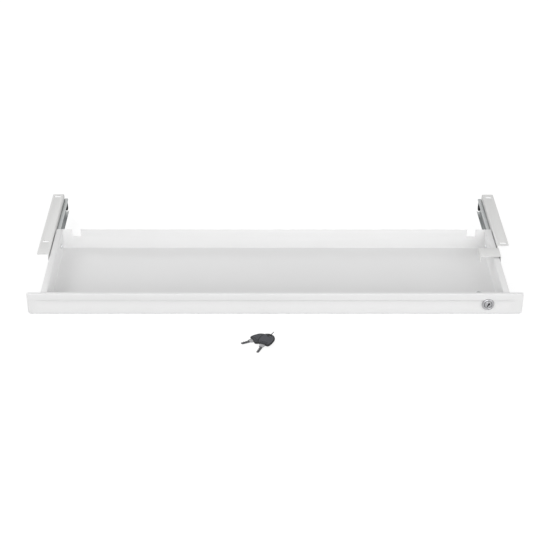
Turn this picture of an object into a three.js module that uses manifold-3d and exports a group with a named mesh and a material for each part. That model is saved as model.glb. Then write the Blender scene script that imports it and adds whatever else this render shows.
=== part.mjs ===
// Lockable drawer that hangs under a desk top: a wide shallow folded-steel tray on two
// ball-bearing slides, two mounting brackets, a cam lock at the right and two keys.
// Millimetres. +X to the right, +Y towards the back of the desk, +Z up.
// Y is measured from the outer face of the drawer front, Z from the underside of the tray,
// and everything is moved by FACE_Y at the end so that the whole set is centred in depth.
// The drawer stands open, as in the picture: it closes by CLOSE towards +Y.

import * as THREE from 'three';
import { mergeVertices } from 'three/addons/utils/BufferGeometryUtils.js';
import Module from 'manifold-3d';

// Drawer front
const FACE_Y = -113.92;         // where the front's outer face lies in the finished frame
const FRONT_W = 800;            // found from the stock sizes of a cam lock and a small slide
const FRONT_H = 38;
const FRONT_D = 5;              // depth of the folded edge of the front
const FRONT_T = 1.5;
const FRONT_EDGE = 1.6;         // outer radius where the face turns into its edge
const FRONT_CORNER = 5;         // rounded lower corners
const STEP_Z = 26.3;            // the pressed step starts here, under the top strip,
const STEP_LOW = 20.5;          // and has its full depth here
const STEP_DEPTH = 1.6;
const STEP_END = 389;           // the step has run out here, from the middle
const STEP_FADE = 13;
const STUD_X = [-340, -120, 120, 300];
const STUD_Z = 12;
const STUD_R = 1.5;

// Tray
const TRAY_X = 368.5;           // middle of the side wall's thickness
const TRAY_T = 1.0;
const TRAY_FRONT = 6.2;
const END_WALL_Y = 5.9;         // middle of the front wall's thickness
const TRAY_BACK = 217;
const TRAY_H = 38;
const RIM_X = 378;              // outer edge of the rim that covers the slide
const BEND = 1.0;               // inner radius of the folds
const NOTCH_X = 344;
const NOTCH_W = 14.5;
const NOTCH_H = 14;

// Brackets
const BRACKET_T = 1.5;
const WEB_X = 380.25;           // middle of the web's thickness
const FLANGE_X = 399.5;
const BRACKET_TOP = 42;
const WEB_LOW = 9;
const BRACKET_BACK = 341.2;
const LEFT_FLANGE_FRONT = 122.8;
const RIGHT_FLANGE_FRONT = 152.6;
const CATCH_FRONT = 116.3;      // catch plate on the right bracket
const CATCH_BACK = 143.6;
const CATCH_TURN_FRONT = 122;   // its turned-down end is narrower, to clear the lock's nut
const CATCH_X = 347.25;         // middle of its turned-down end
const CATCH_LOW = 28.2;
const LEFT_SLOT_Y = [166, 332.5];
const RIGHT_SLOT_Y = [161.5, 330];
const SLOT_X = 390.3;
const SLOT_LONG = 12;
const SLOT_WIDE = 6.3;

// Slides: u runs from the bracket web towards the tray, v up and down from the middle
const SLIDE_X = 379.2;
const SLIDE_Z = 19.8;
const OUTER_FRONT = 124;
const OUTER_BACK = 340.8;
const INNER_FRONT = 7;
const INNER_BACK = 216.5;
const BALL_R = 1.3;
const BALL_U = 3.5;
const BALL_V = 11.17;
const CAGE_FRONT = 144.5;
const CAGE_LONG = 50;
const RIVET_Y = [150, 300];
const SCREW_Y = [26, 187];
const SCREW_R = 1.5;
const SCREW_HOLE_R = 1.9;

// Lock
const LOCK_X = 343.6;
const LOCK_Z = 18.7;
const LOCK_RING_R = 10;
const BARREL_R = 8;
const PLUG_R = 6;
const CAM_Y = 18.3;
const CAM_T = 2;
const CAM_LONG = 20.5;
const CAM_REST = 27;            // the arm points left and a little up in the pose shown
const CLOSE = 110;              // travel from the open pose shown to closed

// Keys, as they lie on the surface in front of the drawer
const KEY_HEAD_T = 2.6;
const KEY_BLADE_T = 1.8;
const KEY_LOWER = { x: -24.8, y: -74.2, z: 1.35, turn: 203.6, tilt: 0 };
const KEY_UPPER = { x: -15, y: -84, z: 5.62, turn: 241.4, tilt: 7.7 };
const KEY_HOLE_X = -9.3;
const RING_R = 4.8;
const RING_TURN = -10;

const WHITE = { color: '#e9ebec', roughness: 0.55, metalness: 0.0 };
const GREY = { color: '#cfd0cf', roughness: 0.5, metalness: 0.1 };
const ZINC = { color: '#a9abad', roughness: 0.38, metalness: 0.9 };
const CHROME = { color: '#c9cacb', roughness: 0.18, metalness: 1.0 };
const STEEL = { color: '#9b9b98', roughness: 0.3, metalness: 0.95 };
const BLACK = { color: '#1b1c1e', roughness: 0.6, metalness: 0.0 };
const KEYHEAD = { color: '#3a3b40', roughness: 0.55, metalness: 0.0 };

const kernel = await Module();
kernel.setup();

function signedVolume(points, faces) {
  const a = new THREE.Vector3(), b = new THREE.Vector3(), c = new THREE.Vector3();
  let sum = 0;
  for (let i = 0; i < faces.length; i += 3) {
    a.fromArray(points, 3 * faces[i]);
    b.fromArray(points, 3 * faces[i + 1]);
    c.fromArray(points, 3 * faces[i + 2]);
    sum += a.dot(b.cross(c));
  }
  return sum;
}

function solid(geometry) {
  const bare = geometry.clone();
  bare.deleteAttribute('normal');
  bare.deleteAttribute('uv');
  const merged = mergeVertices(bare, 1e-4);
  const points = new Float32Array(merged.attributes.position.array);
  const faces = new Uint32Array(merged.index.array);
  if (signedVolume(points, faces) < 0) {
    for (let i = 0; i < faces.length; i += 3) {
      const kept = faces[i + 1];
      faces[i + 1] = faces[i + 2];
      faces[i + 2] = kept;
    }
  }
  return new kernel.Manifold(new kernel.Mesh({ numProp: 3, vertProperties: points, triVerts: faces }));
}

function join(...solids) {
  return solids.reduce((all, next) => all.add(next));
}

function cut(body, ...tools) {
  return tools.reduce((rest, tool) => rest.subtract(tool), body);
}

function mesh(name, body, finish) {
  const made = body.getMesh();
  const geometry = new THREE.BufferGeometry();
  geometry.setAttribute('position', new THREE.BufferAttribute(new Float32Array(made.vertProperties), 3));
  geometry.setIndex(new THREE.BufferAttribute(new Uint32Array(made.triVerts), 1));
  geometry.computeVertexNormals();
  const part = new THREE.Mesh(geometry, new THREE.MeshStandardMaterial({ ...finish, flatShading: true }));
  part.name = name;
  return part;
}

// A box given by its two ends on each axis.
function box(x0, x1, y0, y1, z0, z1) {
  const g = new THREE.BoxGeometry(x1 - x0, y1 - y0, z1 - z0);
  return solid(g.translate((x0 + x1) / 2, (y0 + y1) / 2, (z0 + z1) / 2));
}

// A shape drawn in X and Z, pushed along Y.
function alongY(shape, y0, y1, options = {}) {
  const g = new THREE.ExtrudeGeometry(shape, { depth: y1 - y0, bevelEnabled: false, curveSegments: 6, ...options });
  return solid(g.rotateX(Math.PI / 2).translate(0, y1, 0));
}

// A shape drawn in Y and Z, pushed along X.
function alongX(shape, x0, x1) {
  const g = new THREE.ExtrudeGeometry(shape, { depth: x1 - x0, bevelEnabled: false, curveSegments: 6 });
  const turn = new THREE.Matrix4().makeBasis(
    new THREE.Vector3(0, 1, 0), new THREE.Vector3(0, 0, 1), new THREE.Vector3(1, 0, 0));
  return solid(g.applyMatrix4(turn).translate(x0, 0, 0));
}

// A shape drawn in X and Y, pushed along Z.
function alongZ(shape, z0, z1, options = {}) {
  const g = new THREE.ExtrudeGeometry(shape, { depth: z1 - z0, bevelEnabled: false, curveSegments: 5, ...options });
  return solid(g.translate(0, 0, z0));
}

function polygon(points) {
  return new THREE.Shape(points.map(([u, v]) => new THREE.Vector2(u, v)));
}

// The section of a folded sheet: a centre line, given as corner points, with its thickness
// laid to both sides and every corner bent at the inner radius.
function folded(corners, thick, inner) {
  const line = corners.map(([u, v]) => new THREE.Vector2(u, v));
  const radius = inner + thick / 2;
  const left = [], right = [];
  const put = (point, along) => {
    const side = new THREE.Vector2(-along.y, along.x).multiplyScalar(thick / 2);
    left.push(point.clone().add(side));
    right.push(point.clone().sub(side));
  };
  line.forEach((corner, i) => {
    if (i === 0) return put(corner, line[1].clone().sub(corner).normalize());
    const before = corner.clone().sub(line[i - 1]).normalize();
    if (i === line.length - 1) return put(corner, before);
    const after = line[i + 1].clone().sub(corner).normalize();
    const turn = Math.atan2(before.x * after.y - before.y * after.x, before.dot(after));
    const reach = radius * Math.tan(Math.abs(turn) / 2);
    const start = corner.clone().addScaledVector(before, -reach);
    const sign = Math.sign(turn);
    const centre = start.clone().add(new THREE.Vector2(-before.y, before.x).multiplyScalar(sign * radius));
    for (let k = 0; k <= 4; k++) {
      const angle = turn * k / 4;
      put(start.clone().rotateAround(centre, angle), before.clone().rotateAround(new THREE.Vector2(), angle));
    }
  });
  return new THREE.Shape([...left, ...right.reverse()]);
}

// A round piece turned about an axis along Y: pairs of radius and place along Y.
function turnedY(profile, x, z, segments = 36) {
  const points = profile.map(([r, y]) => new THREE.Vector2(r, y));
  return solid(new THREE.LatheGeometry(points, segments).translate(x, 0, z));
}

// The same about an axis along X.
function turnedX(profile, y, z, segments = 24) {
  const points = profile.map(([r, x]) => new THREE.Vector2(r, x));
  return solid(new THREE.LatheGeometry(points, segments).rotateZ(-Math.PI / 2).translate(0, y, z));
}

function rounded(x0, x1, z0, z1, low, high) {
  const s = new THREE.Shape();
  s.moveTo(x0 + low, z0);
  s.lineTo(x1 - low, z0);
  s.absarc(x1 - low, z0 + low, low, -Math.PI / 2, 0, false);
  s.lineTo(x1, z1 - high);
  s.absarc(x1 - high, z1 - high, high, 0, Math.PI / 2, false);
  s.lineTo(x0 + high, z1);
  s.absarc(x0 + high, z1 - high, high, Math.PI / 2, Math.PI, false);
  s.lineTo(x0, z0 + low);
  s.absarc(x0 + low, z0 + low, low, Math.PI, 1.5 * Math.PI, false);
  return s;
}

function slotAcross(x, y, long, wide) {
  return rounded(x - long / 2, x + long / 2, y - wide / 2, y + wide / 2, wide / 2 - 0.01, wide / 2 - 0.01);
}

// The pressed step: hollow under STEP_Z, running out downwards and before both ends.
// Shifted back by the sheet's thickness it is also the bulge on the hidden side.
function pressing(grow) {
  const half = STEP_END + grow, deep = STEP_DEPTH + grow;
  const plan = polygon([[-half, -grow], [half, -grow], [half, 0], [half - STEP_FADE, deep],
    [-half + STEP_FADE, deep], [-half, 0]]);
  const section = polygon([[-grow, 3 - grow], [0, 3 - grow], [deep, STEP_LOW], [0.75 * deep, STEP_Z - 2.3],
    [0, STEP_Z + grow], [-grow, STEP_Z + grow]]);
  return alongZ(plan, 0, STEP_Z + 2).intersect(alongX(section, -half, half));
}

function frontPanel() {
  const half = FRONT_W / 2, e = FRONT_EDGE, t = FRONT_T;
  const outline = rounded(-half + e, half - e, e, FRONT_H - e, FRONT_CORNER - e, 0.4);
  const depth = FRONT_D + 1 - e;
  const outer = alongY(outline, 0, depth, { bevelEnabled: true, bevelThickness: e, bevelSize: e, bevelSegments: 3 })
    .translate(0, e, 0);
  const hollow = alongY(rounded(-half + t, half - t, t, FRONT_H - t, FRONT_CORNER - t, 0.4), t, FRONT_D + 10);
  const behind = box(-half - 5, half + 5, FRONT_D, FRONT_D + 10, -5, FRONT_H + 5);
  const inside = alongY(rounded(-half + 0.5, half - 0.5, 0.5, FRONT_H - 0.5, FRONT_CORNER, 0.4), 0.4, FRONT_D - 0.5);
  const bulge = pressing(0.2).translate(0, t - 0.2, 0).intersect(inside);
  const hole = turnedY([[0, -5], [BARREL_R + 0.4, -5], [BARREL_R + 0.4, 12], [0, 12]], LOCK_X, LOCK_Z);
  const face = cut(join(cut(outer, hollow, behind), bulge), pressing(0).translate(0, -0.001, 0), hole);
  return mesh('front_panel', face, WHITE);
}

// Weld studs stand on the back of the front and pass through the tray's front wall.
function frontStuds() {
  const profile = [[0, 2.95], [3, 2.95], [3, 3.75], [STUD_R, 4.25], [STUD_R, 12.2], [STUD_R - 0.4, 12.6], [0, 12.6]];
  return STUD_X.map((x, i) => mesh(`front_stud_${i + 1}`, turnedY(profile, x, STUD_Z, 14), ZINC));
}

function hexNut(x, z, y0, y1, flats, bore) {
  const corners = [];
  for (let i = 0; i < 6; i++) {
    const a = Math.PI * i / 3;
    corners.push([x + flats / Math.sqrt(3) * Math.cos(a), z + flats / Math.sqrt(3) * Math.sin(a)]);
  }
  const dome = turnedY([[0, y0 - 0.01], [flats / 2 + 2, y0 - 0.01], [flats / 2 + 2, y1 - 1.2],
    [flats / 2 - 0.1, y1 + 0.001], [0, y1 + 0.001]], x, z, 20);
  const hole = turnedY([[0, y0 - 1], [bore, y0 - 1], [bore, y1 + 1], [0, y1 + 1]], x, z, 16);
  return cut(alongY(polygon(corners), y0, y1).intersect(dome), hole);
}

function frontNuts() {
  return STUD_X.map((x, i) => mesh(`front_nut_${i + 1}`, hexNut(x, STUD_Z, 6.7, 9.6, 6.4, STUD_R + 0.3), ZINC));
}

// Floor, sides with their rims, and back wall, folded from one sheet.
function tray() {
  const mid = TRAY_T / 2, top = TRAY_H - mid, high = TRAY_H;
  const section = folded([[-RIM_X, top], [-TRAY_X, top], [-TRAY_X, mid], [TRAY_X, mid], [TRAY_X, top], [RIM_X, top]],
    TRAY_T, BEND);
  const trough = alongY(section, TRAY_FRONT, TRAY_BACK - 2.4);
  const back = TRAY_BACK - mid;
  const backWall = alongX(folded([[back - 8, mid], [back, mid], [back, high]], TRAY_T, BEND),
    -TRAY_X + 0.2, TRAY_X - 0.2);
  const sides = [-1, 1].map((s) => alongY(
    folded([[s * RIM_X, top], [s * TRAY_X, top], [s * TRAY_X, 3.4]], TRAY_T, BEND), TRAY_BACK - 5, TRAY_BACK));
  const body = join(trough, backWall, ...sides);
  const notches = [-1, 1].map((s) => alongY(
    rounded(s * NOTCH_X - NOTCH_W / 2, s * NOTCH_X + NOTCH_W / 2, high - NOTCH_H, high + 5, 0.8, 0.8),
    TRAY_BACK - 3, TRAY_BACK + 2));
  const screwHoles = SCREW_Y.map((y) => turnedX(
    [[0, -380], [SCREW_HOLE_R, -380], [SCREW_HOLE_R, 380], [0, 380]], y, SLIDE_Z, 14));
  return mesh('tray', cut(body, ...notches, ...screwHoles), WHITE);
}

// The tray's front wall: its flange is spot-welded to the floor, and the lock and the front's
// studs pass through it.
function trayFront() {
  const low = TRAY_T + 0.3 + TRAY_T / 2;
  const wall = alongX(folded([[END_WALL_Y + 8, low], [END_WALL_Y, low], [END_WALL_Y, 35.5]], TRAY_T, BEND),
    -TRAY_X + 0.9, TRAY_X - 0.9);
  const lockHole = turnedY([[0, 2], [BARREL_R + 0.4, 2], [BARREL_R + 0.4, 12], [0, 12]], LOCK_X, LOCK_Z, 28);
  const studHoles = STUD_X.map((x) => turnedY([[0, 2], [STUD_R + 0.4, 2], [STUD_R + 0.4, 12], [0, 12]],
    x, STUD_Z, 14));
  return mesh('tray_front', cut(wall, lockHole, ...studHoles), WHITE);
}

function flange(side, y0, y1, frontCorner) {
  const mid = BRACKET_TOP - BRACKET_T / 2;
  const section = folded([[side * FLANGE_X, mid], [side * WEB_X, mid], [side * WEB_X, WEB_LOW]], BRACKET_T, 0.8);
  const corner = rounded(Math.min(side * 370, side * FLANGE_X), Math.max(side * 370, side * FLANGE_X), y0, y1,
    frontCorner, 2);
  return alongY(section, y0, y1).intersect(alongZ(corner, WEB_LOW - 1, BRACKET_TOP + 1));
}

function webHoles(side) {
  return RIVET_Y.map((y) => turnedX([[0, 370 * side], [2.2, 370 * side], [2.2, 390 * side], [0, 390 * side]],
    y, SLIDE_Z, 16));
}

function slots(side) {
  const along = side < 0 ? LEFT_SLOT_Y : RIGHT_SLOT_Y;
  return along.map((y) => alongZ(slotAcross(side * SLOT_X, y, SLOT_LONG, SLOT_WIDE), 30, 50));
}

function leftBracket() {
  const body = flange(-1, LEFT_FLANGE_FRONT, BRACKET_BACK, 2);
  return mesh('bracket_left', cut(body, ...slots(-1), ...webHoles(-1)), GREY);
}

// The right bracket also carries the catch: a plate that reaches in over the tray's rim and
// turns down at its end, with a slot that the lock's cam swings into.
function rightBracket() {
  const mid = BRACKET_TOP - BRACKET_T / 2;
  const web = box(WEB_X - BRACKET_T / 2, WEB_X + BRACKET_T / 2, CATCH_FRONT, BRACKET_BACK, WEB_LOW, 38.5);
  const over = folded([[CATCH_X, CATCH_LOW], [CATCH_X, mid], [WEB_X, mid], [WEB_X, WEB_LOW + 2]], BRACKET_T, 0.8);
  const narrower = box(CATCH_X - 2, CATCH_X + 1.6, CATCH_FRONT - 1, CATCH_TURN_FRONT, CATCH_LOW - 1, BRACKET_TOP - 2);
  const plate = cut(alongY(over, CATCH_FRONT, CATCH_BACK), narrower);
  const cam = CAM_Y + CLOSE;
  const camSlot = box(CATCH_X - 3, CATCH_X + 3, cam - 1.5, cam + CAM_T + 1.5, CATCH_LOW - 1, 39.9);
  const body = cut(join(flange(1, RIGHT_FLANGE_FRONT, BRACKET_BACK, 3.5), web, plate), camSlot);
  return mesh('bracket_right', cut(body, ...slots(1), ...webHoles(1)), GREY);
}

// Flush on the slide's side, round-headed outside the web.
function rivets(hand, side) {
  const profile = [[0, 378.3], [3, 378.3], [3, 378.9], [1.8, 379.3], [1.8, 381.35], [3.6, 381.35], [3.3, 382.2],
    [2.2, 382.7], [0, 382.8]].map(([r, x]) => [r, side * x]);
  return RIVET_Y.map((y, i) => mesh(`bracket_rivet_${hand}_${i + 1}`, turnedX(profile, y, SLIDE_Z, 14), ZINC));
}

function inSlide(side, corners) {
  return corners.map(([u, v]) => [side * (SLIDE_X - u), SLIDE_Z + v]);
}

// The member on the bracket: a channel whose lips hook over the balls, with a stop tab
// folded in at its back end.
function outerMember(name, side) {
  const section = folded(inSlide(side, [[5.8, 10.9], [5.8, 13.25], [0.5, 13.25], [0.5, -13.25], [5.8, -13.25],
    [5.8, -10.9]]), 1.0, 0.6);
  const [x0, x1] = [side * (SLIDE_X - 0.4), side * (SLIDE_X - 5.1)].sort((a, b) => a - b);
  const tab = box(x0, x1, OUTER_BACK - 1, OUTER_BACK, SLIDE_Z - 6.6, SLIDE_Z + 10.4);
  const holes = RIVET_Y.map((y) => turnedX([[0, side * 377], [3.3, side * 377], [3.3, side * 380], [0, side * 380]],
    y, SLIDE_Z, 16));
  return mesh(name, cut(join(alongY(section, OUTER_FRONT, OUTER_BACK), tab), ...holes), ZINC);
}

function bumper(name, side) {
  const [x0, x1] = [side * (SLIDE_X - 1.4), side * (SLIDE_X - 5.2)].sort((a, b) => a - b);
  const shape = rounded(x0, x1, SLIDE_Z - 7, SLIDE_Z + 0.6, 1, 1);
  return mesh(name, alongY(shape, OUTER_BACK - 8.5, OUTER_BACK - 1.35), BLACK);
}

// The member on the tray: a narrower channel that runs between the two rows of balls.
function innerMember(name, side) {
  const section = folded(inSlide(side, [[2.4, 9.1], [9.4, 9.1], [9.4, -9.1], [2.4, -9.1]]), 1.0, 0.6);
  const holes = SCREW_Y.map((y) => turnedX(
    [[0, side * 366], [SCREW_HOLE_R, side * 366], [SCREW_HOLE_R, side * 374], [0, side * 374]], y, SLIDE_Z, 14));
  return mesh(name, cut(alongY(section, INNER_FRONT, INNER_BACK), ...holes), ZINC);
}

function slideScrews(hand, side) {
  const screw = (y) => {
    const head = [[0, 365.2], [2.2, 365.3], [3.3, 366], [3.6, 367.65], [SCREW_R, 367.65], [SCREW_R, 373.6],
      [SCREW_R - 0.4, 374], [0, 374]];
    const body = turnedX(head.map(([r, x]) => [r, side * x]), y, SLIDE_Z, 16);
    const [x0, x1] = [side * 365, side * 366.6].sort((a, b) => a - b);
    return cut(body, box(x0, x1, y - 2, y + 2, SLIDE_Z - 0.5, SLIDE_Z + 0.5),
      box(x0, x1, y - 0.5, y + 0.5, SLIDE_Z - 2, SLIDE_Z + 2));
  };
  return SCREW_Y.map((y, i) => mesh(`slide_screw_${hand}_${i + 1}`, screw(y), ZINC));
}

function ballPlaces() {
  const rows = [9, 25, 41].map((along) => CAGE_FRONT + along);
  return rows.flatMap((y) => [[y, BALL_V], [y, -BALL_V]]);
}

function cage(name, side) {
  const section = folded(inSlide(side, [[4.9, BALL_V], [1.6, BALL_V], [1.6, -BALL_V], [4.9, -BALL_V]]), 0.6, 0.3);
  const pockets = ballPlaces().map(([y, v]) => solid(new THREE.CylinderGeometry(1.6, 1.6, 3, 12)
    .rotateX(Math.PI / 2).translate(side * (SLIDE_X - BALL_U), y, SLIDE_Z + v)));
  return mesh(name, cut(alongY(section, CAGE_FRONT, CAGE_FRONT + CAGE_LONG), ...pockets), ZINC);
}

function balls(hand, side) {
  return ballPlaces().map(([y, v], i) => mesh(`ball_${hand}_${i + 1}`,
    solid(new THREE.SphereGeometry(BALL_R, 10, 7).translate(side * (SLIDE_X - BALL_U), y, SLIDE_Z + v)), CHROME));
}

function lockBody() {
  const body = turnedY([[PLUG_R + 0.35, -1.9], [PLUG_R + 0.9, -2.4], [8.4, -2.4], [LOCK_RING_R - 0.4, -1.8],
    [LOCK_RING_R, -1.1], [LOCK_RING_R, -0.3], [BARREL_R, -0.3], [BARREL_R, 16.6], [BARREL_R - 0.5, 17.1],
    [PLUG_R + 0.35, 17.1], [PLUG_R + 0.35, -1.9]], LOCK_X, LOCK_Z, 36);
  return mesh('lock_body', body, CHROME);
}

function lockNut() {
  return mesh('lock_nut', hexNut(LOCK_X, LOCK_Z, 6.7, 10.4, 22, BARREL_R + 0.35), ZINC);
}

// Turned about the lock's axis; a positive angle lifts what points along -X.
function aboutLock(body, degrees) {
  return body.translate(-LOCK_X, 0, -LOCK_Z).rotate([0, degrees, 0]).translate(LOCK_X, 0, LOCK_Z);
}

// The plug with its keyway, square at the back where the cam sits.
function lockPlug() {
  const round = turnedY([[0, -2.2], [PLUG_R - 0.5, -2.2], [PLUG_R, -1.7], [PLUG_R, 17.4], [0, 17.4]], LOCK_X, LOCK_Z, 32);
  const square = box(LOCK_X - 3, LOCK_X + 3, 17, CAM_Y + CAM_T + 0.2, LOCK_Z - 3, LOCK_Z + 3);
  const tail = aboutLock(square, CAM_REST);
  const keyway = box(-1, 1, -5, 9, -3.9, 3.9).rotate([0, 20, 0]).translate(LOCK_X, 0, LOCK_Z);
  const bore = turnedY([[0, 12.5], [2.1, 12.5], [2.1, 30], [0, 30]], LOCK_X, LOCK_Z, 20);
  return mesh('lock_plug', cut(join(round, tail), keyway, bore), CHROME);
}

// Drawn with its arm along -X, and then turned to its place in the pose shown. Locked it stands
// upright, and unlocked it lies along -X.
function lockCam() {
  const arm = new THREE.Shape();
  arm.moveTo(LOCK_X, LOCK_Z - 7.6);
  arm.absarc(LOCK_X, LOCK_Z, 7.6, -Math.PI / 2, Math.PI / 2, false);
  arm.lineTo(LOCK_X - CAM_LONG + 4, LOCK_Z + 5.4);
  arm.absarc(LOCK_X - CAM_LONG + 4, LOCK_Z + 1.4, 4, Math.PI / 2, Math.PI, false);
  arm.lineTo(LOCK_X - CAM_LONG, LOCK_Z - 1.4);
  arm.absarc(LOCK_X - CAM_LONG + 4, LOCK_Z - 1.4, 4, Math.PI, 1.5 * Math.PI, false);
  const square = box(LOCK_X - 3.35, LOCK_X + 3.35, 15, 25, LOCK_Z - 3.35, LOCK_Z + 3.35);
  return mesh('lock_cam', aboutLock(cut(alongY(arm, CAM_Y, CAM_Y + CAM_T), square), CAM_REST), ZINC);
}

function camScrew() {
  const back = CAM_Y + CAM_T + 0.55;
  const screw = turnedY([[0, 14], [1.7, 14], [1.7, back], [4.6, back], [4.6, back + 0.8], [3.4, back + 0.8],
    [3.2, back + 2.2], [0, back + 2.6]], LOCK_X, LOCK_Z, 24);
  const recess = join(box(LOCK_X - 2, LOCK_X + 2, back + 1.2, back + 4, LOCK_Z - 0.5, LOCK_Z + 0.5),
    box(LOCK_X - 0.5, LOCK_X + 0.5, back + 1.2, back + 4, LOCK_Z - 2, LOCK_Z + 2));
  return mesh('cam_screw', cut(screw, recess), ZINC);
}

// A key is drawn flat with the middle of its head at the origin and its blade along +X.
function placed(body, place) {
  return body.rotate([0, place.tilt, 0]).rotate([0, 0, place.turn]).translate(place.x, place.y, place.z);
}

function keyBlade(name, place) {
  const outline = polygon([[4, -3.6], [13.6, -3.6], [13.9, -4.4], [16.6, -4], [18.6, -3], [20.2, -2.7], [21.6, -0.6],
    [23, -0.4], [24.4, -1.6], [25.8, -0.1], [27.2, -0.3], [28.6, -1.4], [30, 0], [31.4, -0.2], [32.5, -0.9],
    [33.35, 0.5], [32.8, 1.4], [31.2, 3.1], [18.6, 3.1], [16.6, 4.1], [13.9, 4.4], [13.6, 3.6], [4, 3.6]]);
  const groove = box(18, 40, 1.5, 2.3, KEY_BLADE_T / 2 - 0.5, KEY_BLADE_T);
  const lower = box(18, 40, 0.3, 1.1, -KEY_BLADE_T, -KEY_BLADE_T / 2 + 0.5);
  const blade = cut(alongZ(outline, -KEY_BLADE_T / 2, KEY_BLADE_T / 2), groove, lower);
  return mesh(name, placed(blade, place), STEEL);
}

// Half round at its far end, straight across where the blade comes out.
function headOutline(inset) {
  const s = new THREE.Shape();
  s.absarc(-1.2, 0, 12.6 - inset, Math.PI / 2, 1.5 * Math.PI, false);
  s.quadraticCurveTo(9 - inset, -12.6 + inset, 12.7 - inset, -9.7 + inset);
  s.quadraticCurveTo(13.5 - inset, -9 + inset, 13.5 - inset, -8);
  s.lineTo(13.5 - inset, 8);
  s.quadraticCurveTo(13.5 - inset, 9 - inset, 12.7 - inset, 9.7 - inset);
  s.quadraticCurveTo(9 - inset, 12.6 - inset, -1.2, 12.6 - inset);
  return s;
}

function keyHead(name, place) {
  const edge = 0.5;
  const outer = alongZ(headOutline(edge), -KEY_HEAD_T / 2 + edge, KEY_HEAD_T / 2 - edge,
    { bevelEnabled: true, bevelThickness: edge, bevelSize: edge, bevelSegments: 2, curveSegments: 8 });
  const pocket = box(3.6, 20, -4, 4, -KEY_BLADE_T / 2 - 0.3, KEY_BLADE_T / 2 + 0.3);
  const hole = solid(new THREE.CylinderGeometry(2.6, 2.6, 10, 24).rotateX(Math.PI / 2).translate(KEY_HOLE_X, 0, 0));
  const grooves = [7.6, 9.6, 11.6].map((x) => box(x - 0.4, x + 0.4, -6.5, 6.5, KEY_HEAD_T / 2 - 0.15, KEY_HEAD_T));
  return mesh(name, placed(cut(outer, pocket, hole, ...grooves), place), KEYHEAD);
}

// The small wire ring through the hole of the upper key.
function keyRing() {
  const a = THREE.MathUtils.degToRad(KEY_UPPER.turn);
  const axis = new THREE.Vector3(-Math.cos(a), -Math.sin(a), 0);
  const out = axis.clone().applyAxisAngle(new THREE.Vector3(0, 0, 1), THREE.MathUtils.degToRad(RING_TURN));
  const hole = new THREE.Vector3(KEY_UPPER.x, KEY_UPPER.y, 0).addScaledVector(axis, -KEY_HOLE_X);
  const centre = hole.clone().addScaledVector(out, RING_R - 0.2).setZ(RING_R + 0.95);
  const heading = THREE.MathUtils.radToDeg(Math.atan2(out.y, out.x));
  const ring = solid(new THREE.TorusGeometry(RING_R, 0.65, 8, 24)).rotate([90, 0, heading]);
  return mesh('key_ring', ring.translate(centre.x, centre.y, centre.z), CHROME);
}

const model = new THREE.Group();
model.name = 'under_desk_drawer_safe';
model.add(
  leftBracket(), rightBracket(),
  outerMember('slide_outer_left', -1), outerMember('slide_outer_right', 1),
  bumper('slide_bumper_left', -1), bumper('slide_bumper_right', 1),
  ...rivets('left', -1), ...rivets('right', 1),
  tray(), trayFront(), frontPanel(), ...frontStuds(), ...frontNuts(),
  innerMember('slide_inner_left', -1), innerMember('slide_inner_right', 1),
  ...slideScrews('left', -1), ...slideScrews('right', 1),
  cage('ball_cage_left', -1), cage('ball_cage_right', 1), ...balls('left', -1), ...balls('right', 1),
  lockBody(), lockNut(), lockPlug(), lockCam(), camScrew(),
  keyBlade('key_lower_blade', KEY_LOWER), keyHead('key_lower_head', KEY_LOWER),
  keyBlade('key_upper_blade', KEY_UPPER), keyHead('key_upper_head', KEY_UPPER), keyRing(),
);
model.children.forEach((part) => part.geometry.translate(0, FACE_Y, 0));

export default model;
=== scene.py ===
"""An under-desk drawer safe, drawn open, with its two keys lying in front of it.

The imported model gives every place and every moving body. The pieces here stand for its solids
with the soft folds, rounded sheet edges, threads and recesses of the real ones.
"""
from math import cos, pi, radians, sin

import bmesh
import bpy
from mathutils import Matrix, Vector


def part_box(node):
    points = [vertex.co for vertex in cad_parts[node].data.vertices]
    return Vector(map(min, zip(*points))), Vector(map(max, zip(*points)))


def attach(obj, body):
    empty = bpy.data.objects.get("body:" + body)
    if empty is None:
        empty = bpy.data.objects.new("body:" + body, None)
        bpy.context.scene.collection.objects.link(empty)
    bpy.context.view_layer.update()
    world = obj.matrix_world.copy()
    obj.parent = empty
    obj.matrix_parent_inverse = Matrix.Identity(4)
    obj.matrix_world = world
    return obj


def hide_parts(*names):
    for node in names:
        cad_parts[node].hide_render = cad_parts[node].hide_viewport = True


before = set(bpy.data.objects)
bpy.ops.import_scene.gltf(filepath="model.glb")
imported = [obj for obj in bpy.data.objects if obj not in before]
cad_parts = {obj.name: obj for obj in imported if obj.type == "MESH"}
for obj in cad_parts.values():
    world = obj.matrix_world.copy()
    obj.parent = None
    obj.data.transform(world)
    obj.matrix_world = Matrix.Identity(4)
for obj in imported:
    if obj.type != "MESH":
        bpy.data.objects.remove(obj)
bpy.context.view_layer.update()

MM = 0.001
FACE_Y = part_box("front_panel")[0].y / MM    # where the front's outer face lies, in mm

# Sheet metal, in mm: thickness, and radius of a fold at the middle of the sheet
FRONT_T, TRAY_T, BRACKET_T, SLIDE_T = 1.5, 1.0, 1.5, 1.0
TRAY_FOLD, BRACKET_FOLD, SLIDE_FOLD = 1.5, 1.0, 1.1
SHEARED_EDGE = 0.14

# Drawer front: half its width, its depth and height, and the radii of its corners and edges
FRONT_X, FRONT_D, FRONT_H = 400.0, 5.0, 38.0
LOW_CORNER, TOP_CORNER, FRONT_EDGE = 5.0, 1.7, 1.6
STEP_DEPTH = 1.6
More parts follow.
